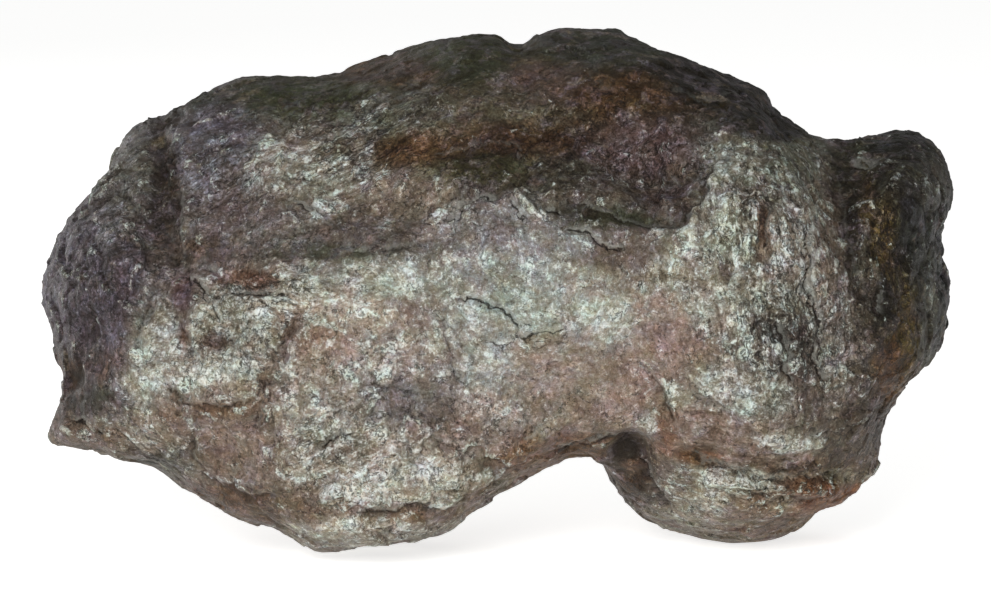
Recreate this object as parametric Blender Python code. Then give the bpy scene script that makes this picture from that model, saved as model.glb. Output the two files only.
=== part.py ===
"""An iron meteorite: one natural solid, a long lumpy mass that stands on two broad feet.

It is built in metres with +Z up, the long axis along X and the front towards -Y. The outline is a closed
curve through points in space. Rings shrink from that outline towards a spine inside the mass and swell
forwards and backwards, which gives a closed shell. Flat facets, lumps and hollows then shape the shell.
"""

import math

import bmesh
import bpy
import numpy as np
from mathutils import Matrix, Vector, noise

MM = 0.001
LEAN_DEG = 7.0  # the mass leans back this much from upright as it rests
CURVE_STEPS = 24  # places worked out between two points of the outline
OUTLINE_STEPS = 260  # points round the outline
RING_COUNT = 16  # rings from the outline to the spine, on each side
SPINE_GAP = 0.008  # the last ring's share, so that it closes on the spine
SHELL_SQUARENESS = 2.5  # 2 is an ellipse, more is squarer
RIM_BLUR = 6  # neighbours on each side that calm the outline inside the rim
RIM_FADE = 24  # how fast the outline's small turns fade from the rim inwards
VOXEL = 7.0 * MM  # the even grid that the shell is rebuilt on
SOFTEN_FACTOR = 0.5  # how far each pass takes the grid's steps out
SOFTEN_PASSES = 4
TRIANGLES = 7000
FOOT_CUT = 5.0 * MM  # how much of the feet is worn flat where they bear

# The outline as (x, y, z) in millimetres, clockwise from the left end. y is how far back the rim runs.
OUTLINE = [
    (-398, 20, 222), (-394, 26, 240), (-388, 32, 271), (-371, 36, 303), (-356, 40, 320), (-342, 44, 328),
    (-338, 48, 345), (-327, 52, 365), (-309, 56, 377), (-296, 60, 381), (-274, 66, 396), (-247, 72, 409),
    (-221, 76, 417), (-195, 80, 418), (-164, 82, 417), (-137, 84, 423), (-102, 86, 433), (-67, 88, 446),
    (-40, 88, 453), (-11, 86, 456), (3, 84, 451), (15, 82, 446), (30, 80, 450), (56, 76, 458),
    (84, 72, 462), (109, 68, 457), (140, 66, 445), (180, 64, 429), (219, 60, 413), (235, 58, 402),
    (246, 56, 384), (263, 56, 377), (275, 58, 363), (287, 62, 356), (301, 68, 356), (320, 76, 362),
    (347, 84, 366), (371, 86, 368), (386, 80, 357), (395, 72, 337), (401, 66, 308), (391, 62, 291),
    (389, 60, 275), (394, 56, 256), (399, 50, 222), (393, 44, 191), (379, 38, 168), (358, 34, 152),
    (349, 30, 132), (336, 26, 108), (335, 24, 82), (329, 24, 70), (310, 28, 51), (283, 34, 33),
    (256, 40, 14), (219, 44, 9), (180, 42, 12), (137, 38, 20), (122, 34, 30), (106, 28, 48),
    (97, 22, 60), (93, 16, 75), (90, 8, 83), (65, 4, 79), (43, 0, 71), (12, -6, 54),
    (-14, -14, 38), (-36, -22, 23), (-58, -28, 12), (-93, -32, 8), (-120, -34, 6), (-150, -36, 0),
    (-168, -34, 7), (-186, -30, 19), (-221, -26, 27), (-247, -22, 42), (-274, -18, 55), (-296, -12, 71),
    (-322, -8, 80), (-348, -2, 89), (-379, 0, 92), (-390, 2, 98), (-386, 4, 108), (-372, 8, 125),
    (-372, 10, 138), (-378, 12, 161), (-383, 14, 183), (-388, 16, 203),
]

# The spine runs inside the mass from end to end: x, z, and how far the shell swells forwards and backwards.
SPINE = [
    (-285, 218, 112, 118),
    (-155, 210, 172, 168),
    (-20, 235, 196, 192),
    (92, 262, 190, 204),
    (200, 236, 198, 192),
    (292, 232, 150, 134),
]

# Broad facets: outward normal, the facet's distance from the middle of the mass, and how flat it is.
FACET_CENTRE = (0, 10, 235)
FACETS = [
    ((0.02, -1.00, -0.16), 166, 0.70),
    ((-0.08, -0.62, 0.78), 176, 0.55),
    ((-0.86, -0.50, 0.10), 332, 0.55),
    ((0.80, -0.60, 0.02), 330, 0.45),
    ((0.10, 1.00, 0.12), 178, 0.60),
    ((-0.60, 0.78, 0.10), 258, 0.55),
    ((0.66, 0.72, -0.16), 300, 0.50),
    ((0.05, 0.66, 0.74), 214, 0.50),
    ((0.00, 0.60, -0.80), 196, 0.45),
]

# Lumps (height above 0) and hollows (below 0): centre, reach along x, y and z, and height.
LUMPS = [
    # the front
    ((122, -150, 345), (62, 90, 46), -30),  # scoop under the top edge
    ((232, -170, 250), (44, 90, 120), 24),  # right shoulder
    ((128, -170, 165), (26, 80, 66), -15),  # valley before the shoulder
    ((302, -120, 270), (26, 80, 96), -12),  # valley behind the shoulder
    ((352, -30, 312), (42, 90, 50), 13),  # ear at the upper right
    ((222, -140, 40), (80, 70, 28), 18),  # lip of the right foot
    ((226, -170, 84), (84, 70, 12), -10),  # shelf above the lip
    ((112, -130, 80), (18, 60, 20), -26),  # notch where the arch meets the right foot
    ((-298, -90, 320), (13, 80, 96), -16),  # groove behind the left end
    ((-232, -130, 88), (36, 80, 32), -13),  # bowl low on the left
    ((-112, -180, 130), (105, 90, 76), 18),  # belly
    ((6, -190, 232), (74, 90, 58), 12),  # raised plate in the middle
    ((-86, -170, 300), (62, 90, 32), -13),  # hollow over the belly
    ((-248, -130, 305), (44, 80, 46), -9),
    ((-296, -110, 185), (26, 80, 44), 8),
    ((58, -180, 136), (60, 80, 38), -12),
    # the back
    ((-180, 180, 300), (70, 90, 54), -22),
    ((-40, 200, 190), (64, 90, 70), -24),
    ((110, 200, 320), (74, 90, 50), -20),
    ((210, 170, 180), (58, 90, 60), -22),
    ((40, 200, 260), (38, 90, 90), 14),
    ((-250, 150, 170), (56, 90, 46), -16),
    ((-130, 180, 90), (80, 90, 40), 14),
    ((300, 120, 290), (46, 70, 60), 14),
    ((140, 180, 90), (60, 90, 34), 12),
    # the ends, the top and the underside
    ((-350, -60, 230), (60, 50, 80), 7),
    ((-330, 130, 250), (60, 60, 70), -12),
    ((350, 150, 190), (70, 60, 60), -12),
    ((370, -70, 175), (70, 60, 40), 10),
    ((-120, 160, 430), (80, 60, 70), -12),
    ((70, -20, 440), (70, 50, 60), -8),
    ((190, 160, 400), (60, 60, 60), -10),
    ((0, 110, 80), (90, 60, 60), -10),
    ((-150, 60, 15), (64, 44, 44), 17),  # heel of the left foot
    ((215, 100, 18), (74, 50, 46), 21),  # heel of the right foot
]

# Uneven surface: size of the swells, and how far they stand out.
SWELLS = [(95.0 * MM, 7.0 * MM), (42.0 * MM, 3.2 * MM)]


def clear_scene():
    for old in list(bpy.data.objects):
        bpy.data.objects.remove(old)


def smooth_loop(points, steps):
    """A closed Catmull-Rom curve through the points, as evenly spaced places along it."""
    knots = np.array(points, float) * MM
    before, after, beyond = (np.roll(knots, shift, axis=0) for shift in (1, -1, -2))
    curve = []
    for t in np.linspace(0, 1, CURVE_STEPS, endpoint=False):
        curve.append(
            0.5 * (
                2 * knots
                + (after - before) * t
                + (2 * before - 5 * knots + 4 * after - beyond) * t**2
                + (3 * knots - before - 3 * after + beyond) * t**3
            )
        )
    curve = np.stack(curve, axis=1).reshape(-1, 3)
    closed = np.vstack([curve, curve[:1]])
    along = np.concatenate([[0], np.cumsum(np.linalg.norm(np.diff(closed, axis=0), axis=1))])
    even = np.linspace(0, along[-1], steps, endpoint=False)
    return np.stack([np.interp(even, along, closed[:, axis]) for axis in range(3)], axis=1)


def shell_mesh():
    """The closed shell: rings that shrink from the outline to the spine, swelling forwards and backwards."""
    rim = smooth_loop(OUTLINE, OUTLINE_STEPS)
    near = range(-RIM_BLUR, RIM_BLUR + 1)
    calm_rim = sum(np.roll(rim, shift, axis=0) for shift in near) / len(near)
    spine = np.array(SPINE, float) * MM
    inner_x = np.clip(rim[:, 0], spine[0, 0], spine[-1, 0])
    inner_z, front, back = (np.interp(inner_x, spine[:, 0], spine[:, column]) for column in (1, 2, 3))
    inner = np.stack([inner_x, np.zeros(len(rim)), inner_z], axis=1)

    shell = bmesh.new()

    def ring(share, swell):
        """Points a share of the way out from the spine to the rim, moved along y by their swell."""
        depth = (1 - share**SHELL_SQUARENESS) ** (1 / SHELL_SQUARENESS)
        edge = calm_rim + share**RIM_FADE * (rim - calm_rim)
        places = inner + share * (edge - inner)
        places[:, 1] += swell * depth
        return [shell.verts.new(place) for place in places]

    shares = [math.cos(math.pi / 2 * step / RING_COUNT) for step in range(1, RING_COUNT)] + [SPINE_GAP]
    rings = [ring(share, back) for share in reversed(shares)]
    rings += [ring(1.0, front)]
    rings += [ring(share, -front) for share in shares]
    for first, second in zip(rings, rings[1:]):
        for step in range(OUTLINE_STEPS):
            after = (step + 1) % OUTLINE_STEPS
            shell.faces.new((first[step], first[after], second[after], second[step]))
    shell.faces.new(reversed(rings[0]))
    shell.faces.new(rings[-1])
    bmesh.ops.triangulate(shell, faces=[face for face in shell.faces if len(face.verts) > 4])
    bmesh.ops.recalc_face_normals(shell, faces=shell.faces)
    mesh = bpy.data.meshes.new("shell")
    shell.to_mesh(mesh)
    shell.free()
    return mesh


def settled(body):
    """Applies the object's modifiers."""
    graph = bpy.context.evaluated_depsgraph_get()
    mesh = bpy.data.meshes.new_from_object(body.evaluated_get(graph))
    body.modifiers.clear()
    body.data = mesh


def remesh(body):
    """Rebuilds the shell on an even grid and takes the grid's steps out of it."""
    grid = body.modifiers.new("even_grid", "REMESH")
    grid.mode = "VOXEL"
    grid.voxel_size = VOXEL
    soften = body.modifiers.new("soften", "SMOOTH")
    soften.factor = SOFTEN_FACTOR
    soften.iterations = SOFTEN_PASSES
    settled(body)


def places_and_normals(mesh):
    places = np.empty(len(mesh.vertices) * 3)
    mesh.vertices.foreach_get("co", places)
    normals = np.empty(len(mesh.vertices) * 3)
    mesh.vertices.foreach_get("normal", normals)
    return places.reshape(-1, 3), normals.reshape(-1, 3)


def put_back(mesh, places):
    mesh.vertices.foreach_set("co", places.ravel())
    mesh.update()


def press_facets(mesh):
    """Presses what stands beyond each facet's plane most of the way back onto it."""
    places, _ = places_and_normals(mesh)
    centre = np.array(FACET_CENTRE) * MM
    for direction, distance, flatness in FACETS:
        outward = np.array(Vector(direction).normalized())
        beyond = np.maximum((places - centre) @ outward - distance * MM, 0)
        places -= np.outer(beyond * flatness, outward)
    put_back(mesh, places)


def raise_lumps(mesh):
    """Pushes the surface out or in round each lump's centre, along its own normal."""
    places, normals = places_and_normals(mesh)
    height = np.zeros(len(places))
    for centre, reach, amount in LUMPS:
        apart = (places - np.array(centre) * MM) / (np.array(reach) * MM)
        height += amount * MM * np.exp(-(apart**2).sum(axis=1))
    put_back(mesh, places + normals * height[:, None])


def roughen(mesh):
    """Adds the uneven swells that a weathered mass has all over."""
    places, normals = places_and_normals(mesh)
    height = np.zeros(len(places))
    for size, amount in SWELLS:
        height += [amount * noise.noise(Vector(place) / size) for place in places]
    put_back(mesh, places + normals * height[:, None])


def stand(mesh):
    """Leans the mass back, wears its feet flat on the floor, and puts the origin under its middle."""
    mesh.transform(Matrix.Rotation(-math.radians(LEAN_DEG), 4, "X"))
    places, _ = places_and_normals(mesh)
    low, high = places.min(axis=0), places.max(axis=0)
    places -= ((low[0] + high[0]) / 2, (low[1] + high[1]) / 2, low[2] + FOOT_CUT)
    places[:, 2] = np.maximum(places[:, 2], 0)
    put_back(mesh, places)


def meteorite_material():
    """Weathered iron under a dull grey-brown oxide crust."""
    material = bpy.data.materials.new("weathered_iron")
    material.use_nodes = True
    shader = material.node_tree.nodes["Principled BSDF"]
    shader.inputs["Base Color"].default_value = (0.165, 0.142, 0.118, 1)
    shader.inputs["Roughness"].default_value = 0.62
    shader.inputs["Metallic"].default_value = 0.25
    return material


def build_meteorite():
    """The whole mass, as one closed solid."""
    body = bpy.data.objects.new("meteorite", shell_mesh())
    bpy.context.scene.collection.objects.link(body)
    remesh(body)
    press_facets(body.data)
    raise_lumps(body.data)
    roughen(body.data)
    fewer = body.modifiers.new("fewer_faces", "DECIMATE")
    fewer.ratio = TRIANGLES / (2 * len(body.data.polygons))
    settled(body)
    stand(body.data)
    body.data.name = "meteorite"
    body.data.materials.append(meteorite_material())
    body.data.shade_smooth()


clear_scene()
build_meteorite()
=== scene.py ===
import math

import bpy
import numpy as np
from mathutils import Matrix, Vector, noise


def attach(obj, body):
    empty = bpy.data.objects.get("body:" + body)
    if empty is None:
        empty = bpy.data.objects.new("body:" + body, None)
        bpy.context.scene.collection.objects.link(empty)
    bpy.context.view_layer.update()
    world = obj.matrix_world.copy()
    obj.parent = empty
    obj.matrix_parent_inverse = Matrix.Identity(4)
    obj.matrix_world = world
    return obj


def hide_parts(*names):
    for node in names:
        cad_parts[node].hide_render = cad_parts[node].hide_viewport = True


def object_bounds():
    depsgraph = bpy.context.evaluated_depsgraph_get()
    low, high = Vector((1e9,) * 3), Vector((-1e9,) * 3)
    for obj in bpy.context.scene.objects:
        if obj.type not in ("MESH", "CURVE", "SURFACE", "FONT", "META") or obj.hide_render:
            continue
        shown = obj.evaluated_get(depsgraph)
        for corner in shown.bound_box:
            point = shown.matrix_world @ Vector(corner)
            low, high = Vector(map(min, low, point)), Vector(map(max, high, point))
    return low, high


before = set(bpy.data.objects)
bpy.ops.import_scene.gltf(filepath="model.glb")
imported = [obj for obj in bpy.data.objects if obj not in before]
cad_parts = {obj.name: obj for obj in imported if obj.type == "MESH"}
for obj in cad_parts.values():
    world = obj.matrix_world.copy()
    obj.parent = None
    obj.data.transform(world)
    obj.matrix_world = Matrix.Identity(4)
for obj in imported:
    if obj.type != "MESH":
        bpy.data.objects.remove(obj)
cadLow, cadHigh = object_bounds()
print("frame loaded")


# camera, floor and light

studio = {
    "distance": 5.0,       # m from the middle of the mass to the camera
    "tilt": 7.0,           # degrees that the camera looks down
    "aim": (-0.003, 0, -0.0105),   # m from the middle of the mass to the point looked at
    "lens": 206.2,         # mm, on a 36 mm wide sensor
    "floorSize": 26.0,     # m
    "floorColour": "#f1f1ee",
    "floorGlow": 0.72,
    "skyStrength": 0.26,
    "keySpot": (-0.7, -4.2, 1.9),   # m
    "keyWatts": 171.0,
    "keySize": 1.5,        # m
    "rearSpot": (-3.2, 3.2, 1.1),
    "rearWatts": 60.0,
}


def linear(hexColour):
    # sRGB hex to linear light
    parts = [int(hexColour[at:at + 2], 16) / 255 for at in (1, 3, 5)]
    return [part / 12.92 if part <= 0.04045 else ((part + 0.055) / 1.055) ** 2.4 for part in parts]


def addNode(tree, kind, inputs, output=0, **settings):
    # inputs joins a socket to another node's output, or sets it to a number, a vector or a hex colour
    node = tree.nodes.new(kind)
    for name, setting in settings.items():
        setattr(node, name, setting)
    for key, value in inputs.items():
        if isinstance(value, bpy.types.NodeSocket):
            tree.links.new(value, node.inputs[key])
        elif isinstance(value, str):
            node.inputs[key].default_value = (*linear(value), 1)
        else:
            node.inputs[key].default_value = value
    return node.outputs[output]


def pointAt(thing, target):
    thing.rotation_euler = (Vector(target) - thing.location).to_track_quat("-Z", "Y").to_euler()


def addLight(name, spot, watts, size, target):
    lamp = bpy.data.lights.new(name, "AREA")
    lamp.energy = watts
    lamp.size = size
    holder = bpy.data.objects.new(name, lamp)
    bpy.context.scene.collection.objects.link(holder)
    holder.location = spot
    pointAt(holder, target)


def makeStudio():
    middle = Vector((0, 0, cadHigh.z / 2))
    tilt = math.radians(studio["tilt"])
    aim = middle + Vector(studio["aim"])
    lens = bpy.data.cameras.new("camera")
    lens.sensor_width = 36
    lens.lens = studio["lens"]
    lens.clip_end = 100
    camera = bpy.data.objects.new("camera", lens)
    bpy.context.scene.collection.objects.link(camera)
    camera.location = aim + studio["distance"] * Vector((0, -math.cos(tilt), math.sin(tilt)))
    pointAt(camera, aim)
    bpy.context.scene.camera = camera

    bpy.ops.object.select_all(action="DESELECT")
    bpy.ops.mesh.primitive_plane_add(size=studio["floorSize"], location=(0, 0, 0))
    floor = bpy.context.active_object
    floor.name = "floor"
    paint = bpy.data.materials.new("matt_studio_floor")
    paint.use_nodes = True
    shader = paint.node_tree.nodes["Principled BSDF"]
    shader.inputs["Base Color"].default_value = (*linear(studio["floorColour"]), 1)
    shader.inputs["Roughness"].default_value = 0.9
    shader.inputs["Emission Color"].default_value = (1, 1, 1, 1)
    shader.inputs["Emission Strength"].default_value = studio["floorGlow"]
    floor.data.materials.append(paint)

    sky = bpy.data.worlds.new("soft_sky")
    sky.use_nodes = True
    light = sky.node_tree.nodes["Background"]
    light.inputs["Color"].default_value = (1, 1, 1, 1)
    seen = addNode(sky.node_tree, "ShaderNodeLightPath", {})     # the camera sees the sky as white paper
    ends = {"Value": seen, "To Min": studio["skyStrength"], "To Max": 1.0}
    sky.node_tree.links.new(addNode(sky.node_tree, "ShaderNodeMapRange", ends), light.inputs["Strength"])
    bpy.context.scene.world = sky
    addLight("key_light", studio["keySpot"], studio["keyWatts"], studio["keySize"], middle)
    addLight("rear_light", studio["rearSpot"], studio["rearWatts"], studio["keySize"], middle)
    bpy.context.scene.view_settings.view_transform = "Standard"


makeStudio()
print("studio set")


# the mass: an even mesh to carve

mass = {
    "grid": 2.1,            # mm between the points of the mesh that is carved
    "calmPasses": 16,       # smoothing of the plain shape
    "calmShare": 0.6,
    "crestPasses": 24,      # how far round a place its small crests and hollows are judged
    "hollowPasses": 160,    # the same for its large hollows
    "triangles": 194000,
    "thinning": 0.01,       # how much coarser the finished mesh is at the back than at the front
    "frontThinning": 0.3,   # what the front takes of it, where the back takes 1
}


def evenMesh():
    bpy.ops.object.select_all(action="DESELECT")
    rock = bpy.data.objects.new("meteorite_mass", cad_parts["meteorite"].data.copy())
    bpy.context.scene.collection.objects.link(rock)
    bpy.context.view_layer.objects.active = rock
    rock.select_set(True)
    bpy.ops.object.mode_set(mode="EDIT")
    bpy.ops.mesh.select_all(action="SELECT")
    bpy.ops.mesh.remove_doubles(threshold=0.00001)
    bpy.ops.object.mode_set(mode="OBJECT")
    grid = rock.modifiers.new("even_grid", "REMESH")
    grid.mode = "VOXEL"
    grid.voxel_size = mass["grid"] / 1000
    calm = rock.modifiers.new("calm", "SMOOTH")
    calm.factor = mass["calmShare"]
    calm.iterations = mass["calmPasses"]
    for name in ("even_grid", "calm"):
        bpy.ops.object.modifier_apply(modifier=name)
    return rock


def readPoints(mesh):
    values = np.empty(len(mesh.vertices) * 3)
    mesh.vertices.foreach_get("co", values)
    return values.reshape(-1, 3)


rock = evenMesh()
places = readPoints(rock.data) * 1000       # everything below is in mm
count = len(places)


def vertexNormals(mesh, points):
    corners = np.empty(len(mesh.loops), np.int64)
    mesh.loops.foreach_get("vertex_index", corners)
    quads = corners.reshape(-1, 4)
    across, along = points[quads[:, 2]] - points[quads[:, 0]], points[quads[:, 3]] - points[quads[:, 1]]
    facings = np.cross(across, along)
    sums = [np.bincount(quads.ravel(), np.repeat(facings[:, axis], 4), count) for axis in range(3)]
    sums = np.stack(sums, axis=1)
    return sums / np.linalg.norm(sums, axis=1, keepdims=True)


normals = vertexNormals(rock.data, places)
print("even mesh,", count, "points")


# where a place is on the front and on the back

faceSpan = {"left": -396.5, "right": 392.0, "top": 456.0}   # mm, the outline as seen from in front


def faceCoords(points, behind=False):
    # across and up in mm, as seen from the camera's place, or from the same place behind
    side = -1 if behind else 1
    tilt = math.radians(studio["tilt"])
    forward = np.array((0, side * math.cos(tilt), -math.sin(tilt)))
    upward = np.array((0, side * math.sin(tilt), math.cos(tilt)))
    fromMiddle = points - np.array((0, 0, cadHigh.z * 500))
    shrink = studio["distance"] * 1000 / (studio["distance"] * 1000 + fromMiddle @ forward)
    across = fromMiddle[:, 0] * shrink
    up = (fromMiddle @ upward) * shrink
    wide = (across.min(), across.max())
    tall = (up.min(), up.max())
    across = np.interp(across, wide, (faceSpan["left"], faceSpan["right"]))
    return across, np.interp(up, tall, (0, faceSpan["top"]))


def smoothStep(low, high, values):
    share = np.clip((values - low) / (high - low), 0, 1)
    return share * share * (3 - 2 * share)


def sample(points, size, how):
    return np.array([how(Vector(point)) for point in points / size])


def fractal(points, size, octaves, roughness=0.9):
    return sample(points, size, lambda spot: noise.fractal(spot, roughness, 2.1, octaves))


# how far the relief and the zones stray from even lines
stray = {
    "slow": (46, 6),        # size and reach in mm
    "quick": (15, 3.2),
    "jags": (12, 5.5),      # corners of the grooves and steps
    "onFront": 0.55,        # share of the slow and quick that the front takes
}


def cellVector(seed):
    # the random vector that a cell has, found from its middle
    return noise.cell_vector(seed * 9.7)


def strayBy(points, name):
    size, reach = stray[name]
    return sample(points, size, noise.noise_vector) * reach


noise.seed_set(7)       # noise_vector draws its offsets by this seed, so each run gives the same mass
wander = strayBy(places, "slow") + strayBy(places + 31, "quick")
wandered = places + wander
across, up = faceCoords(places)
across += wander[:, 0] * stray["onFront"]
up += wander[:, 2] * stray["onFront"]
jagSize, jagReach = stray["jags"]
jag = (sample(wandered, jagSize, lambda spot: cellVector(noise.voronoi(spot)[1][0])) - 0.5) * jagReach
facing = smoothStep(-0.25, 0.15, normals @ np.array((0, -0.99, 0.12)))      # 1 where the front's relief is
# 1 where the front's colours are, which reach over the top
frontShare = smoothStep(-0.5, -0.1, normals @ np.array((0.1, -0.90, 0.42)))
backAcross, backUp = faceCoords(places, behind=True)
backAcross += wander[:, 0]
backUp += wander[:, 2]
print("places found")


# relief

relief = {
    "swell": (92, 2.4),        # size and height in mm
    "thumbprints": (58, 4.0),
    "blocks": (34, 0.085),     # size in mm and slope of the broken faces
    "chips": (12, 0.075),
    "rugged": (26, 0.8),
    "crumbs": (7.5, 0.45),
    "joint": 0.05,             # width of the joint between two blocks, as a share of their size
    "proud": 2.2,              # mm that the whole surface stands out, as the hollows take it in
    "deepest": -16,            # mm, the furthest that the surface goes in
    "highest": 8,
    "pastCad": 6,              # mm that it may stand out past the box of the plain mass
    "flatFoot": 14,            # mm above the floor where the relief is in full
    "strokeReach": 26,         # mm from a groove that it is felt
    "crackReach": 9,           # mm from a crack that its colour fades over
    "shadedWidth": 3.5,        # mm, a groove wider than this is dark right across
}

# calm and rough areas of the front: across, up, reach across, reach up, how rough (1 is usual)
roughness = [
    (-60, 425, 220, 26, 0.6), (60, 200, 80, 60, 0.4), (-30, 190, 50, 50, 0.45), (60, 265, 40, 20, 0.5),
    (-300, 180, 26, 34, 0.35), (-80, 100, 90, 60, 1.3), (235, 190, 55, 60, 1.7), (-230, 180, 60, 45, 1.6),
    (-200, 320, 90, 50, 1.2), (-350, 250, 50, 90, 1.7), (170, 130, 50, 50, 0.5), (230, 40, 80, 26, 1.2),
    (330, 180, 44, 110, 1.6), (345, 310, 50, 60, 1.6), (60, 360, 130, 44, 1.5), (-110, 350, 60, 44, 1.3),
    (-235, 85, 34, 30, 0.8),
    (130, 215, 50, 40, 0.6), (-120, 225, 60, 30, 0.7),
]

# grain that runs one way: across, up, reach across, reach up, degrees from level, height mm
grain = [
    (-110, 360, 90, 55, 35, 1.5), (-240, 330, 60, 60, 20, 1.1), (230, 290, 60, 80, 95, 1.5),
    (250, 190, 70, 70, 85, 1.6), (140, 330, 60, 45, 80, 1.3), (60, 350, 70, 50, 40, 1.2),
    (-200, 225, 80, 24, 8, 1.6), (-150, 80, 80, 40, 25, 1.0), (230, 60, 90, 26, -4, 1.4),
    (190, 110, 60, 40, -25, 0.9), (340, 270, 46, 90, 92, 1.6), (-310, 80, 44, 24, -30, 1.3),
    (-350, 220, 50, 90, 70, 0.9),
    (130, 245, 50, 26, 85, 1.1), (40, 175, 70, 40, 10, 0.5), (-290, 175, 26, 34, -55, 0.8),
]

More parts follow.
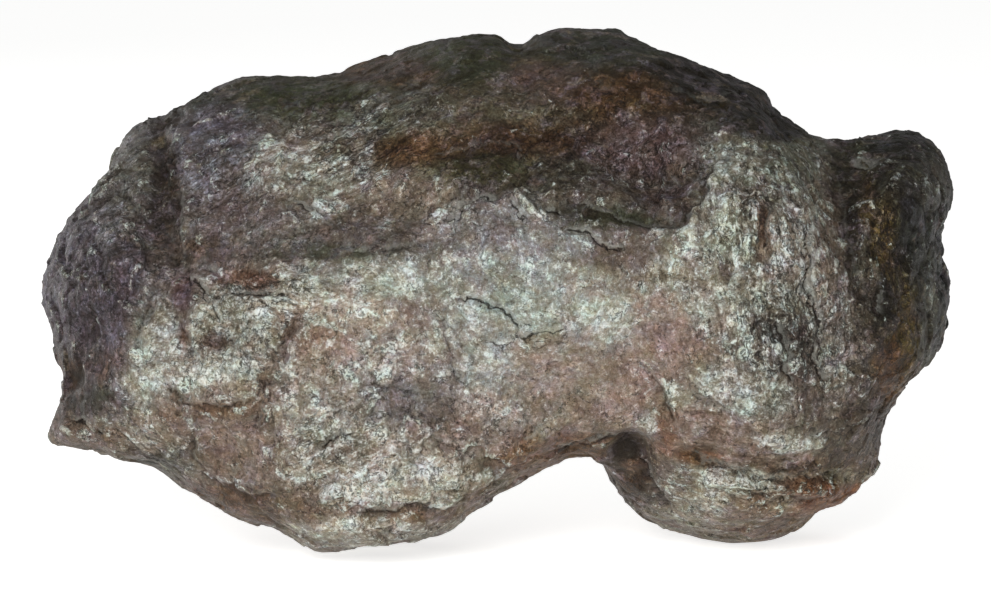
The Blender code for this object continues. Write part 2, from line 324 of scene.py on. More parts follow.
# long grooves and ridges on the front: width, depth mm (below 0 is a ridge), darkness, points (across, up)
strokes = [
    (11, 7, 0.42, [(-286, 385), (-291, 360), (-293, 330), (-293, 300), (-291, 275), (-284, 252),
                   (-262, 248)]),
    (3, 3, 0.6, [(-281, 322), (-282, 300), (-281, 278), (-284, 258)]),
    (8, 4, 0.55, [(-296, 246), (-304, 228), (-312, 208), (-320, 188), (-320, 165)]),
    (6, 4, 0.6, [(-336, 314), (-345, 308), (-356, 299), (-366, 288)]),
    (4, 3, 0.6, [(-318, 312), (-328, 314), (-337, 314)]),
    (3, 4, 0.9, [(-274, 244), (-262, 230), (-257, 218), (-250, 205), (-246, 196)]),
    (3, 3, 0.7, [(-262, 250), (-250, 243), (-243, 232)]),
    (7, -3, 0.0, [(-284, 238), (-274, 226), (-264, 210), (-258, 200)]),
    (6, 4, 0.55, [(-287, 212), (-281, 196), (-275, 182), (-266, 168)]),
    (4, -3, 0.0, [(-272, 200), (-269, 186), (-262, 172)]),
    (4, 4, 0.6, [(-292, 158), (-288, 142), (-278, 129), (-260, 124), (-240, 125), (-222, 130), (-209, 140)]),
    (5, 5, 0.5, [(-176, 211), (-181, 194), (-190, 176), (-198, 159), (-205, 143), (-211, 124), (-224, 98)]),
    (6, -3, 0.0, [(-166, 205), (-172, 188), (-182, 168), (-189, 150)]),
    (3, 3, 0.85, [(-252, 222), (-232, 221), (-214, 225), (-196, 226), (-180, 222)]),
    (3, 2, 0.5, [(-250, 238), (-232, 240), (-212, 246), (-196, 244)]),
    (3, 4, 1.0, [(-188, 302), (-172, 301), (-160, 297), (-151, 291)]),
    (3, 2, 0.6, [(-200, 336), (-182, 326), (-164, 320), (-146, 318)]),
    (3, 2, 0.5, [(-196, 346), (-180, 335), (-160, 328)]),
    (4, 3, 0.55, [(-140, 263), (-122, 258), (-102, 265), (-82, 266), (-68, 261)]),
    (4, 3, 0.55, [(-276, 118), (-272, 98), (-264, 78), (-250, 62), (-230, 52), (-206, 48), (-180, 42)]),
    (3, 2, 0.4, [(-258, 112), (-256, 94), (-248, 78), (-234, 68), (-216, 64)]),
    (4, -3, 0.0, [(-268, 112), (-264, 92), (-254, 74), (-238, 60), (-218, 54)]),
    (3, 4, 0.9, [(-376, 117), (-363, 111), (-352, 104), (-344, 97)]),
    (3, 3, 0.6, [(-346, 114), (-332, 103), (-322, 95), (-314, 84)]),
    (6, -4, 0.0, [(-386, 102), (-368, 105), (-350, 112), (-332, 108)]),
    (3, 3, 0.7, [(-164, 80), (-150, 91), (-136, 100), (-120, 101)]),
    (5, -3, 0.0, [(-176, 90), (-156, 101), (-140, 109), (-126, 113)]),
    (3, 4, 1.0, [(-43, 219), (-26, 218), (-12, 214), (0, 211), (8, 205), (12, 198), (15, 185)]),
    (2.4, 2, 0.8, [(12, 200), (20, 199), (29, 195)]),
    (3, 2.4, 0.8, [(-20, 185), (-8, 182), (0, 180), (20, 184), (36, 189), (50, 191), (56, 196), (57, 204)]),
    (2.4, 2, 0.7, [(0, 180), (2, 168)]),
    (3, 2.4, 0.7, [(25, 176), (36, 181), (50, 184), (62, 188)]),
    (3, 2.6, 0.6, [(-52, 208), (-50, 190), (-47, 170), (-42, 155), (-35, 145), (-24, 137)]),
    (2.4, 1.6, 0.6, [(0, 240), (3, 225)]),
    (2.4, 1.8, 0.5, [(50, 236), (57, 222), (63, 210)]),
    (3, 4, 0.95, [(-45, 287), (-36, 302), (-20, 307), (-2, 308)]),
    (3, 3, 0.9, [(6, 306), (16, 300), (20, 293), (28, 289)]),
    (5, -5, 0.0, [(0, 312), (10, 316), (20, 311), (28, 301), (34, 293)]),
    (3, 4, 0.9, [(34, 297), (44, 296), (53, 293)]),
    (6, 5, 0.6, [(46, 302), (60, 304), (76, 299), (94, 291), (114, 285), (136, 281), (157, 279)]),
    (3, 4, 1.0, [(50, 279), (64, 278), (78, 276), (85, 269), (94, 263), (110, 262)]),
    (4, 4, 0.6, [(205, 348), (195, 341), (183, 337), (180, 325), (178, 312), (171, 302), (162, 296),
                 (157, 279)]),
    (3, 2, 0.5, [(158, 266), (178, 260), (196, 256), (205, 250)]),
    (4, 3, 0.55, [(236, 312), (232, 292), (228, 270), (230, 248)]),
    (3, 4, 0.95, [(267, 292), (266, 276), (263, 262), (268, 250), (265, 236), (268, 216), (272, 200),
                  (270, 182)]),
    (5, 5, 0.8, [(240, 202), (246, 186), (250, 170), (248, 156), (252, 140)]),
    (4, 4, 0.8, [(270, 190), (268, 175), (272, 160), (280, 144)]),
    (8, 5, 0.45, [(284, 348), (290, 322), (294, 300), (297, 280), (303, 260), (307, 244), (314, 228),
                  (322, 206)]),
    (4, 4, 0.8, [(302, 340), (320, 336), (346, 335)]),
    (5, 4, 0.6, [(330, 232), (326, 214), (329, 200)]),
    (4, 3, 0.6, [(118, 160), (130, 156), (138, 146), (143, 131), (147, 118), (150, 104)]),
    (4, 3, 0.5, [(163, 136), (176, 132), (188, 125), (198, 118)]),
    (5, -3, 0.0, [(168, 143), (180, 137), (192, 129)]),
    (4, 4, 0.6, [(146, 92), (164, 82), (184, 75), (204, 70), (226, 64), (252, 61), (280, 62), (300, 67),
                 (316, 75)]),
    (6, -5, 0.0, [(176, 70), (200, 62), (226, 56), (252, 53), (280, 55), (300, 60)]),
    (4, 3, 0.6, [(190, 50), (220, 44), (250, 42), (280, 46)]),
    (5, 5, 0.7, [(118, 82), (124, 66), (134, 47), (148, 31)]),
    (4, 3, 0.7, [(22, 118), (26, 106), (20, 98)]),
    (4, 3, 0.7, [(34, 84), (60, 92), (84, 97), (104, 100), (122, 98)]),
    (5, 4, 0.7, [(-132, 34), (-102, 30), (-76, 40), (-52, 35), (-30, 41)]),
    (3, 3, 0.6, [(-112, 17), (-96, 16), (-76, 15)]),
    (3, 2.4, 0.6, [(-60, 96), (-44, 92), (-28, 90)]),
    (4, 2.6, 0.5, [(-120, 146), (-96, 142), (-70, 140), (-46, 132)]),
    (5, 3, 0.5, [(-66, 340), (-40, 344), (-14, 356), (8, 352), (28, 338)]),
    (5, 3, 0.5, [(-130, 372), (-112, 386), (-98, 400), (-60, 414)]),
    (5, 3, 0.4, [(60, 440), (78, 424), (86, 404), (104, 398)]),
    (4, 3, 0.5, [(146, 400), (166, 398), (190, 392), (214, 396)]),
]

# steps on the front, one side standing proud: height, reach mm, points. The proud side is on the left, going
# along them.
steps = [
    (6, 22, [(110, 284), (60, 298), (34, 297), (28, 305), (12, 317), (-2, 309), (-22, 307), (-38, 300),
             (-48, 285)]),
    (9, 26, [(205, 350), (182, 338), (177, 312), (157, 280), (130, 282), (100, 288)]),
    (4, 14, [(-24, 136), (-42, 155), (-48, 172), (-50, 192), (-52, 210)]),
    (5, 18, [(-150, 291), (-172, 302), (-192, 303)]),
    (5, 16, [(-178, 222), (-214, 225), (-254, 221)]),
    (6, 18, [(320, 76), (280, 61), (230, 63), (184, 75), (146, 92)]),
    (5, 20, [(-320, 160), (-320, 190), (-304, 228), (-292, 246)]),
    (3, 12, [(57, 204), (50, 191), (20, 184), (-20, 186)]),
    (2.5, 14, [(-68, 262), (-102, 265), (-142, 262)]),
    (3, 14, [(198, 118), (176, 133), (160, 138)]),
    (5, 18, [(-120, 101), (-140, 99), (-166, 79)]),
]

# hollows and knobs on the front: across, up, reach across, reach up, height mm, darkness
dents = [
    (195, 245, 9, 7, -3, 0.1), (210, 215, 6, 6, -4, 0.6), (108, 88, 13, 10, -8, 0.95),
    (-369, 152, 8, 15, -8, 0.9),
    (-248, 181, 12, 6, -3, 0.0), (-235, 85, 32, 30, -5, 0.0), (-374, 232, 8, 6, -5, 0.6),
    (96, 345, 40, 26, -8, 0.2),
    (140, 320, 26, 22, -7, 0.2), (8, 290, 10, 8, -3, 0.4), (330, 270, 22, 46, -6, 0.2),
    (-85, 128, 26, 14, -3, 0.2),
    (346, 318, 26, 22, 6, 0.0), (312, 140, 6, 6, 3, 0.0), (322, 181, 6, 6, 3, 0.0),
    (-352, 258, 7, 5, 4, 0.0),
    (-250, 155, 26, 12, 5, 0.0), (-168, 232, 14, 9, 5, 0.0), (150, 136, 9, 12, 3, 0.0),
    (132, 112, 8, 12, 4, 0.0),
    (-45, 86, 8, 6, 3, 0.0), (-68, 150, 6, 6, 3, 0.0), (-100, 74, 9, 7, 3, 0.0), (250, 96, 26, 6, 4, 0.0),
    (120, 66, 8, 14, -5, 0.7), (-270, 372, 10, 7, -5, 0.7), (60, 360, 22, 20, -5, 0.3),
    (-20, 345, 20, 12, -4, 0.3),
    (14, 447, 11, 10, -11, 0.2), (-165, 422, 50, 10, -4, 0.0), (150, 444, 40, 12, -5, 0.0),
    (270, 378, 36, 16, -7, 0.0), (-386, 165, 12, 30, 7, 0.0), (-237, 38, 34, 16, 6, 0.0),
    (-300, 370, 34, 22, 4, 0.0),
    (390, 335, 14, 30, 4, 0.0), (392, 230, 14, 36, 5, 0.0), (390, 276, 10, 9, -8, 0.2),
    (326, 72, 14, 16, 5, 0.0),
]

# long grooves on the back, as seen through the mass from in front
backStrokes = [
    (12, 9, 0.5, [(-330, 300), (-270, 270), (-210, 262), (-150, 230)]),
    (9, 7, 0.5, [(-120, 410), (-90, 350), (-100, 290), (-70, 240), (-20, 210)]),
    (10, 8, 0.6, [(60, 420), (90, 360), (70, 300), (100, 240), (150, 200)]),
    (8, 6, 0.5, [(200, 380), (220, 320), (200, 260)]),
    (9, 8, 0.6, [(-280, 150), (-220, 130), (-150, 140), (-90, 110)]),
    (7, 6, 0.6, [(120, 130), (180, 110), (250, 130), (300, 170)]),
    (5, 4, 0.8, [(-60, 330), (-20, 322), (20, 335), (48, 326)]),
    (4, 4, 0.8, [(-220, 210), (-180, 196), (-168, 170)]),
    (14, -7, 0.0, [(-20, 420), (10, 340), (-10, 270), (20, 190)]),
    (12, -6, 0.0, [(-240, 340), (-180, 310), (-150, 340)]),
    (12, -6, 0.0, [(230, 230), (260, 180), (320, 210)]),
    (6, 5, 0.7, [(310, 340), (330, 290), (318, 250), (340, 210)]),
    (6, 5, 0.7, [(-370, 230), (-350, 190), (-360, 150)]),
]


def strokeSpots(here, there, points):
    # how far each place is from the line, which side it is on (left above 0), and how far along it is
    nearest = np.full(len(here), 1e9)
    side = np.zeros(len(here))
    along = np.zeros(len(here))
    ends = np.array(points, float)
    lengths = np.linalg.norm(np.diff(ends, axis=0), axis=1)
    total = lengths.sum()
    done = 0
    for start, end, length in zip(ends, ends[1:], lengths):
        run = (end - start) / length
        offX, offY = here - start[0], there - start[1]
        share = np.clip(offX * run[0] + offY * run[1], 0, length)
        gapX, gapY = offX - share * run[0], offY - share * run[1]
        gap = np.hypot(gapX, gapY)
        closer = gap < nearest
        nearest[closer] = gap[closer]
        side[closer] = np.sign(run[0] * gapY - run[1] * gapX)[closer]
        along[closer] = ((done + share) / total)[closer]
        done += length
    return nearest, side, along


def nearBox(here, there, points, margin):
    ends = np.array(points, float)
    low, high = ends.min(axis=0) - margin, ends.max(axis=0) + margin
    return (here > low[0]) & (here < high[0]) & (there > low[1]) & (there < high[1])


height = np.zeros(count)
# how dark each place is: dark grooves, seams and dents, and the painted shadow on the low side of each step
darkAndShadow = np.zeros(count)
crackGap = np.full(count, 30.0)      # mm from the nearest crack, below 0 on its right
crackDepth = np.zeros(count)
# how strongly the surface is streaked, for each lean of the streaks in degrees from level
streaks = {97: 0.25 * (1 - facing), 30: 0.35 * (1 - facing), -8: np.zeros(count)}


def carveStroke(here, there, weight, width, depth, darkness, points):
    spots = np.flatnonzero(nearBox(here, there, points, relief["strokeReach"]) & (weight > 0.01))
    gap, side, along = strokeSpots(here[spots], there[spots], points)
    ragged = (0.8 + 0.9 * fractal(places[spots] + 90, 16, 3)).clip(0.15, 1.5)
    taper = np.clip(np.minimum(along, 1 - along) * 6 + 0.15, 0, 1)
    profile = np.exp(-((gap / (width * (0.6 + 0.4 * ragged))) ** 2)) * taper * weight[spots]
    height[spots] -= depth * profile * (0.5 + 0.5 * ragged)
    if darkness == 0:
        return
    if width > relief["shadedWidth"]:
        darkAndShadow[spots] = np.maximum(darkAndShadow[spots], darkness * profile * (0.5 + 0.5 * ragged.clip(0, 1)))
    nearer = gap < np.abs(crackGap[spots])
    chosen = spots[nearer]
    crackGap[chosen] = np.where(side < 0, -gap, gap)[nearer]
    fade = np.exp(-((gap / relief["crackReach"]) ** 2))
    crackDepth[chosen] = (darkness * taper * weight[spots] * fade)[nearer]


def carveStep(here, there, weight, lift, reach, points):
    spots = np.flatnonzero(nearBox(here, there, points, reach * 3) & (weight > 0.01))
    gap, side, along = strokeSpots(here[spots], there[spots], points)
    taper = np.clip(np.minimum(along, 1 - along) * 5, 0, 1) ** 0.7
    rise = np.tanh(side * gap / 1.6) * np.exp(-gap / reach)
    height[spots] += 0.5 * lift * rise * taper * weight[spots]
    # painted shadow on the low side of each step, as if cast by its proud edge
    shadow = 0.42 * np.exp(-((gap + side * 2) / 3.2) ** 2)
    darkAndShadow[spots] = np.maximum(darkAndShadow[spots], shadow * taper * weight[spots])


def carveGrain(here, there, weight, spot):
    middleX, middleY, reachX, reachY, degrees, amount = spot
    share = np.exp(-((here - middleX) / reachX) ** 2 - ((there - middleY) / reachY) ** 2) * weight
    spots = np.flatnonzero(share > 0.04)
    turn = math.radians(degrees)
    lengthwise = here[spots] * math.cos(turn) + there[spots] * math.sin(turn)
    crosswise = -here[spots] * math.sin(turn) + there[spots] * math.cos(turn)
    grainPlaces = np.stack([lengthwise / 40, crosswise / 7, places[spots, 1] / 26], axis=1)
    ridges = sample(grainPlaces, 1, lambda at: noise.ridged_multi_fractal(at, 0.7, 2.1, 3, 1.0, 1.6))
    height[spots] += amount * (ridges - 1.0) * share[spots]
    streak = streaks[min(streaks, key=lambda lean: abs(lean - degrees))]
    streak[spots] = np.maximum(streak[spots], share[spots] * min(1, amount / 1.5))


def facets(points, size):
    # broken faces: each cell is a plane with its own tilt; also how near a place is to the joint between two
    rise = np.empty(len(points))
    joint = np.empty(len(points))
    for at, spot in enumerate(points / size):
        spot = Vector(spot)
        distances, seeds = noise.voronoi(spot)
        slope = cellVector(seeds[0]) - Vector((0.5, 0.5, 0.5))
        rise[at] = (spot - seeds[0]).dot(slope) * 2 + (slope.x + slope.z) * 0.35
        joint[at] = distances[1] - distances[0]
    return rise * size, joint


def roughnessAt(here, there):
    # soft average of the areas near each place and of the usual roughness, 1
    total = np.full(len(here), 0.35)
    value = np.full(len(here), 0.35)
    for middleX, middleY, reachX, reachY, amount in roughness:
        share = np.exp(-((here - middleX) / reachX) ** 2 - ((there - middleY) / reachY) ** 2)
        total += share
        value += share * amount
    return value / total


broken = 1.15 * (1 - facing) + facing * roughnessAt(across, up)


def carve():
    size, amount = relief["swell"]
    height[:] += amount * fractal(places, size, 3)
    size, amount = relief["thumbprints"]
    cells = [noise.voronoi(Vector(spot))[0][0] for spot in (places + wander * 1.6) / size]
    bowl = 1 - (np.array(cells) / 0.75).clip(0, 1) ** 2
    height[:] -= amount * bowl * (0.25 + 0.75 * (1 - facing)) * broken.clip(0.4, 1.2)
    size, slope = relief["blocks"]
    rise, joint = facets(places + wander * 1.5 + 400, size)
    seam = np.exp(-((joint / relief["joint"]) ** 2))
    height[:] += slope * broken * rise - 0.8 * broken * seam
    darkAndShadow[:] = np.maximum(darkAndShadow, 0.45 * seam * (broken - 0.4).clip(0, 1))
    size, slope = relief["chips"]
    rise, joint = facets((places + wander * 0.8 + 900) * (1, 1, 1.5), size)
    height[:] += slope * broken * rise
    size, amount = relief["rugged"]
    ridges = sample(wandered + 700, size, lambda at: noise.ridged_multi_fractal(at, 0.8, 2.2, 4, 1.0, 1.8))
    height[:] += amount * broken * (ridges - 1.2)
    size, amount = relief["crumbs"]
    height[:] += amount * broken * fractal(wandered + 55, size, 2, 0.6)
    for spot in grain:
        carveGrain(across, up, facing, spot)
    for stroke in strokes:
        carveStroke(across + jag[:, 0], up + jag[:, 2], facing, *stroke)
    for stroke in backStrokes:
        carveStroke(backAcross, backUp, 1 - facing, *stroke)
    for step in steps:
        carveStep(across + jag[:, 0], up + jag[:, 2], facing, *step)
    for middleX, middleY, reachX, reachY, amount, darkness in dents:
        share = np.exp(-((across - middleX) / reachX) ** 2 - ((up - middleY) / reachY) ** 2) * facing
        height[:] += amount * share
        darkAndShadow[:] = np.maximum(darkAndShadow, darkness * share)


carve()
print("relief carved")


def neighbourMean(mesh, values, passes):
    # the values averaged over the mesh's edges
    ends = np.empty(len(mesh.edges) * 2, np.int64)
    mesh.edges.foreach_get("vertices", ends)
    first, second = ends[0::2], ends[1::2]
    degree = np.bincount(first, minlength=count) + np.bincount(second, minlength=count)
    for _ in range(passes):
        total = np.bincount(first, values[second], count) + np.bincount(second, values[first], count)
        values = 0.5 * values + 0.5 * total / degree
    return values


# above 0 on crests, below it in hollows: the small ones, then the large
fine = height - neighbourMean(rock.data, height, mass["crestPasses"])
coarse = height - neighbourMean(rock.data, height, mass["hollowPasses"])
footing = smoothStep(0, relief["flatFoot"], places[:, 2])     # the feet stay flat where they bear
height = np.clip(height + relief["proud"], relief["deepest"], relief["highest"])
low, high = np.array(cadLow) * 1000, np.array(cadHigh) * 1000
moved = places + normals * (height * footing)[:, None]
moved = np.clip(moved, low - relief["pastCad"], high + relief["pastCad"])
moved[:, 2] = np.maximum(moved[:, 2], 0)
rock.data.vertices.foreach_set("co", (moved / 1000).ravel())
rock.data.update()


# colours laid on by zone

# zones of the front: across, up, reach across, reach up, colour, pale crust, rust
frontZones = [
    (-372, 250, 26, 60, "#565057", 0.24, 0.08), (-350, 290, 12, 22, "#6a666a", 0.30, 0.02),
    (-345, 205, 30, 46, "#50474f", 0.18, 0.12),
    (-340, 330, 26, 24, "#66645f", 0.35, 0.05), (-292, 325, 10, 56, "#2d2721", 0.05, 0.20),
    (-245, 352, 34, 34, "#605c62", 0.32, 0.05), (-225, 290, 44, 26, "#6c6462", 0.32, 0.12),
    (-250, 265, 30, 16, "#544c48", 0.15, 0.30), (-178, 332, 40, 28, "#868279", 0.60, 0.12),
    (-165, 395, 70, 16, "#3a3c29", 0.03, 0.10), (-265, 392, 26, 10, "#35352c", 0.05, 0.05),
    (-100, 415, 40, 12, "#3f3529", 0.04, 0.35), (-100, 380, 36, 22, "#66655b", 0.38, 0.08),
    (-75, 350, 36, 14, "#59452e", 0.18, 0.46), (-140, 345, 24, 26, "#77746a", 0.45, 0.15),
    (-100, 312, 44, 20, "#746b62", 0.42, 0.22), (-20, 425, 40, 18, "#3a3c2c", 0.06, 0.10),
    (30, 415, 30, 14, "#514540", 0.14, 0.30), (0, 388, 40, 16, "#5c5547", 0.26, 0.18),
    (20, 362, 50, 14, "#3d2d1e", 0.06, 0.35), (-20, 335, 44, 16, "#393725", 0.14, 0.16),
    (90, 435, 50, 12, "#35362c", 0.10, 0.05), (110, 398, 50, 14, "#3a2b1b", 0.05, 0.35),
    (180, 410, 50, 20, "#1d1912", 0.01, 0.15), (245, 368, 20, 10, "#1d1b15", 0.01, 0.05),
    (230, 375, 34, 12, "#24211a", 0.03, 0.12),
    (120, 350, 36, 18, "#5c4d4c", 0.24, 0.12), (140, 315, 26, 20, "#4d4442", 0.18, 0.22),
    (100, 320, 34, 14, "#5e5750", 0.34, 0.12), (60, 330, 26, 14, "#4b473d", 0.30, 0.10),
    (90, 290, 44, 8, "#3b3c2e", 0.10, 0.05), (-125, 275, 36, 12, "#5a544f", 0.25, 0.20),
    (-150, 262, 50, 8, "#4c4d42", 0.20, 0.05),
    (0, 285, 34, 16, "#7a7776", 0.54, 0.05), (30, 262, 18, 18, "#7c7a78", 0.42, 0.02),
    (65, 267, 18, 10, "#7e7c79", 0.50, 0.02), (105, 262, 36, 14, "#5f564f", 0.28, 0.20),
    (-110, 238, 56, 16, "#878881", 0.70, 0.06), (0, 245, 50, 16, "#81827e", 0.58, 0.05),
    (90, 236, 44, 10, "#88847c", 0.62, 0.10), (150, 238, 30, 18, "#8c887c", 0.62, 0.10),
    (205, 330, 18, 26, "#83847b", 0.70, 0.03), (205, 280, 20, 26, "#83847a", 0.72, 0.04),
    (250, 340, 26, 20, "#6b6b60", 0.45, 0.05), (228, 280, 6, 30, "#665445", 0.28, 0.40),
    (258, 270, 20, 40, "#817c73", 0.60, 0.10), (286, 255, 14, 44, "#74695f", 0.48, 0.22),
    (230, 225, 28, 20, "#85847a", 0.70, 0.10), (195, 243, 9, 9, "#5b564d", 0.34, 0.10),
    (230, 180, 26, 24, "#6f6b67", 0.66, 0.06), (255, 172, 12, 26, "#50463f", 0.50, 0.12),
    (285, 190, 20, 36, "#7c766e", 0.62, 0.15), (275, 130, 24, 24, "#655e55", 0.40, 0.20),
    (300, 100, 22, 24, "#50473d", 0.20, 0.20), (318, 225, 12, 44, "#4a443a", 0.28, 0.15),
    (336, 268, 9, 32, "#524524", 0.16, 0.40), (319, 300, 7, 32, "#463c23", 0.18, 0.30),
    (356, 280, 11, 44, "#1e1f18", 0.10, 0.05), (303, 285, 9, 44, "#241f16", 0.10, 0.12),
    (332, 215, 9, 40, "#1f1d16", 0.12, 0.10), (350, 200, 8, 40, "#4a3f1f", 0.16, 0.30),
    (380, 250, 14, 60, "#1c1d17", 0.10, 0.02), (372, 225, 5, 40, "#55544b", 0.45, 0.02),
    (345, 322, 28, 16, "#3b392f", 0.28, 0.10),
    (345, 354, 36, 12, "#2b2c25", 0.10, 0.03), (372, 322, 14, 20, "#4c4943", 0.38, 0.05),
    (300, 330, 14, 22, "#2c291e", 0.12, 0.15), (338, 160, 12, 30, "#443018", 0.05, 0.45),
    (330, 120, 14, 24, "#3e332a", 0.08, 0.25),
    (-297, 185, 24, 30, "#9c9b94", 0.80, 0.05), (-278, 222, 10, 16, "#5b4b4b", 0.05, 0.10),
    (-278, 188, 7, 16, "#5e4a40", 0.10, 0.50), (-232, 208, 28, 16, "#a39f95", 0.95, 0.10),
    (-218, 238, 26, 8, "#705a4e", 0.36, 0.40), (-275, 225, 8, 14, "#54454b", 0.06, 0.10),
    (-168, 232, 20, 12, "#adaea3", 0.98, 0.02),
    (-250, 180, 14, 7, "#62554a", 0.40, 0.30), (-215, 180, 28, 14, "#8b887e", 0.78, 0.14),
    (-240, 158, 28, 12, "#a8a69d", 0.98, 0.03), (-225, 142, 26, 10, "#857c72", 0.60, 0.22),
    (-306, 148, 20, 22, "#939188", 0.76, 0.08), (-285, 125, 14, 18, "#75695d", 0.42, 0.38),
    (-345, 165, 26, 16, "#4e4645", 0.18, 0.30), (-372, 155, 12, 26, "#2f2721", 0.05, 0.40),
    (-350, 130, 22, 12, "#3d3a33", 0.15, 0.12), (-355, 102, 26, 10, "#6b6053", 0.35, 0.35),
    (-310, 100, 26, 18, "#797065", 0.50, 0.25), (-290, 80, 26, 12, "#5c5950", 0.40, 0.12),
    (-235, 95, 26, 20, "#786a60", 0.30, 0.24), (-225, 70, 22, 16, "#73665e", 0.28, 0.28),
    (-245, 122, 26, 8, "#6b5847", 0.34, 0.32), (-235, 48, 40, 8, "#44372a", 0.10, 0.45),
    (-190, 35, 26, 10, "#5a4e41", 0.30, 0.30), (-186, 180, 8, 18, "#6b5d52", 0.34, 0.30),
    (-206, 144, 10, 16, "#6a5b4e", 0.34, 0.34),
    (-128, 203, 44, 22, "#92887f", 0.58, 0.14), (-155, 182, 28, 22, "#95867a", 0.58, 0.24),
    (-90, 180, 44, 20, "#8d867f", 0.60, 0.12), (-85, 130, 44, 18, "#67625e", 0.26, 0.12),
    (-150, 130, 30, 24, "#8a837c", 0.56, 0.12), (-140, 104, 26, 10, "#92928a", 0.80, 0.05),
    (-110, 75, 48, 22, "#9a968c", 0.80, 0.12), (-60, 58, 44, 18, "#9f988d", 0.82, 0.14),
    (-90, 33, 50, 7, "#6f6152", 0.36, 0.35), (-118, 17, 44, 12, "#9a9589", 0.86, 0.10),
    (-30, 100, 34, 20, "#7b7069", 0.35, 0.22), (-20, 50, 30, 10, "#75695d", 0.45, 0.30),
    (0, 210, 44, 20, "#868a84", 0.66, 0.03), (-15, 160, 24, 22, "#8d908a", 0.68, 0.03),
    (-10, 125, 26, 10, "#98908a", 0.60, 0.10), (50, 160, 40, 26, "#8b8078", 0.34, 0.16),
    (40, 205, 26, 16, "#8e9089", 0.68, 0.05), (95, 200, 28, 18, "#999a92", 0.80, 0.04),
    (60, 120, 44, 16, "#7f746b", 0.34, 0.22), (70, 95, 44, 8, "#5c4c38", 0.15, 0.55),
    (20, 82, 26, 12, "#64513c", 0.22, 0.55), (110, 150, 24, 26, "#87796f", 0.40, 0.26),
    (148, 180, 34, 30, "#84756c", 0.30, 0.28), (140, 215, 26, 12, "#938a80", 0.55, 0.16),
    (180, 215, 22, 20, "#95958c", 0.80, 0.05), (190, 152, 22, 12, "#93958c", 0.78, 0.02),
    (220, 135, 24, 14, "#8a8b83", 0.66, 0.06), (150, 137, 8, 12, "#94958b", 0.75, 0.12),
    (185, 108, 34, 12, "#7c6f66", 0.22, 0.28), (215, 85, 40, 9, "#74675d", 0.20, 0.30),
    (250, 97, 26, 6, "#9a978c", 0.85, 0.06), (255, 75, 34, 8, "#564a3e", 0.12, 0.35),
    (145, 110, 10, 26, "#6f5d4f", 0.30, 0.50), (175, 82, 26, 6, "#5c4631", 0.08, 0.80),
    (200, 62, 30, 8, "#a19e92", 0.84, 0.08), (290, 66, 26, 6, "#77705f", 0.45, 0.30),
    (150, 62, 24, 22, "#6e655d", 0.48, 0.14), (116, 68, 13, 22, "#2a2119", 0.14, 0.35),
    (172, 40, 28, 16, "#a09c8e", 0.84, 0.14), (222, 38, 36, 12, "#8c7e6c", 0.58, 0.40),
    (285, 50, 28, 10, "#7d482b", 0.06, 0.95), (240, 22, 34, 9, "#7a6c5c", 0.50, 0.35),
    (110, 90, 13, 11, "#100d0a", 0.0, 0.02), (128, 112, 10, 14, "#7c776d", 0.60, 0.10),
]

# zones of the back, as seen through the mass from in front
backZones = [
    (0, 420, 300, 40, "#43423a", 0.12, 0.12), (-250, 300, 90, 60, "#5d5753", 0.30, 0.20),
    (-120, 330, 80, 50, "#6f6a62", 0.48, 0.16), (40, 340, 80, 50, "#5b4f45", 0.25, 0.40),
    (180, 340, 70, 50, "#4a4439", 0.20, 0.25), (-280, 190, 80, 60, "#746c64", 0.45, 0.28),
    (-120, 210, 90, 60, "#8a857c", 0.66, 0.14), (60, 220, 80, 60, "#7c746b", 0.50, 0.24),
    (210, 230, 80, 60, "#6b645b", 0.42, 0.26), (340, 250, 50, 80, "#403a30", 0.14, 0.25),
    (-200, 90, 90, 50, "#6a5b4e", 0.34, 0.42), (-40, 110, 90, 50, "#72685e", 0.42, 0.28),
    (150, 110, 90, 50, "#7a7167", 0.50, 0.25), (280, 130, 60, 50, "#56493d", 0.25, 0.45),
    (0, 20, 400, 30, "#4d4337", 0.20, 0.45),
]


blend = {
    "core": 0.12,           # how far a zone keeps its own colour around its middle
    "falloff": 2.2,         # how quickly it gives way to its neighbours
    "underPaintedShade": 0.35,      # how much darker the underside is painted, as painted shade where it faces down
    "underBare": 0.5,       # how much less crust it has
}


def layZones(here, there, zones):
    # each place takes the mean of the zones near it, the nearest counting most
    total = np.full(len(here), 1e-9)
    colour = np.zeros((len(here), 3))
    pale = np.zeros(len(here))
    rust = np.zeros(len(here))
    for middleX, middleY, reachX, reachY, hexColour, paleShare, rustShare in zones:
        gap = ((here - middleX) / reachX) ** 2 + ((there - middleY) / reachY) ** 2
        share = 1 / (blend["core"] + gap) ** blend["falloff"]
        total += share
        colour += share[:, None] * np.array(linear(hexColour))
        pale += share * paleShare
        rust += share * rustShare
    return colour / total[:, None], pale / total, rust / total


frontColour, frontPale, frontRust = layZones(across + wander[:, 1] * 0.5, up + wander[:, 0] * 0.4, frontZones)
backColour, backPale, backRust = layZones(backAcross, backUp, backZones)
zoneColour = frontColour * frontShare[:, None] + backColour * (1 - frontShare)[:, None]
paleCrust = frontPale * frontShare + backPale * (1 - frontShare)
rustStain = frontRust * frontShare + backRust * (1 - frontShare)
# painted shade: where the surface faces down its zone colours are darkened, as shade falls there; it also has
# less crust
under = smoothStep(-0.55, -0.95, normals[:, 2])
zoneColour = zoneColour * (1 - blend["underPaintedShade"] * under)[:, None]
paleCrust = paleCrust * (1 - blend["underBare"] * under)


def storeValues(mesh, name, values):
    attribute = mesh.attributes.new(name, "FLOAT", "POINT")
    attribute.data.foreach_set("value", values.astype(np.float32))


def storeColours(mesh, name, colours):
    attribute = mesh.attributes.new(name, "FLOAT_COLOR", "POINT")
    attribute.data.foreach_set("color", np.column_stack([colours, np.ones(count)]).astype(np.float32).ravel())


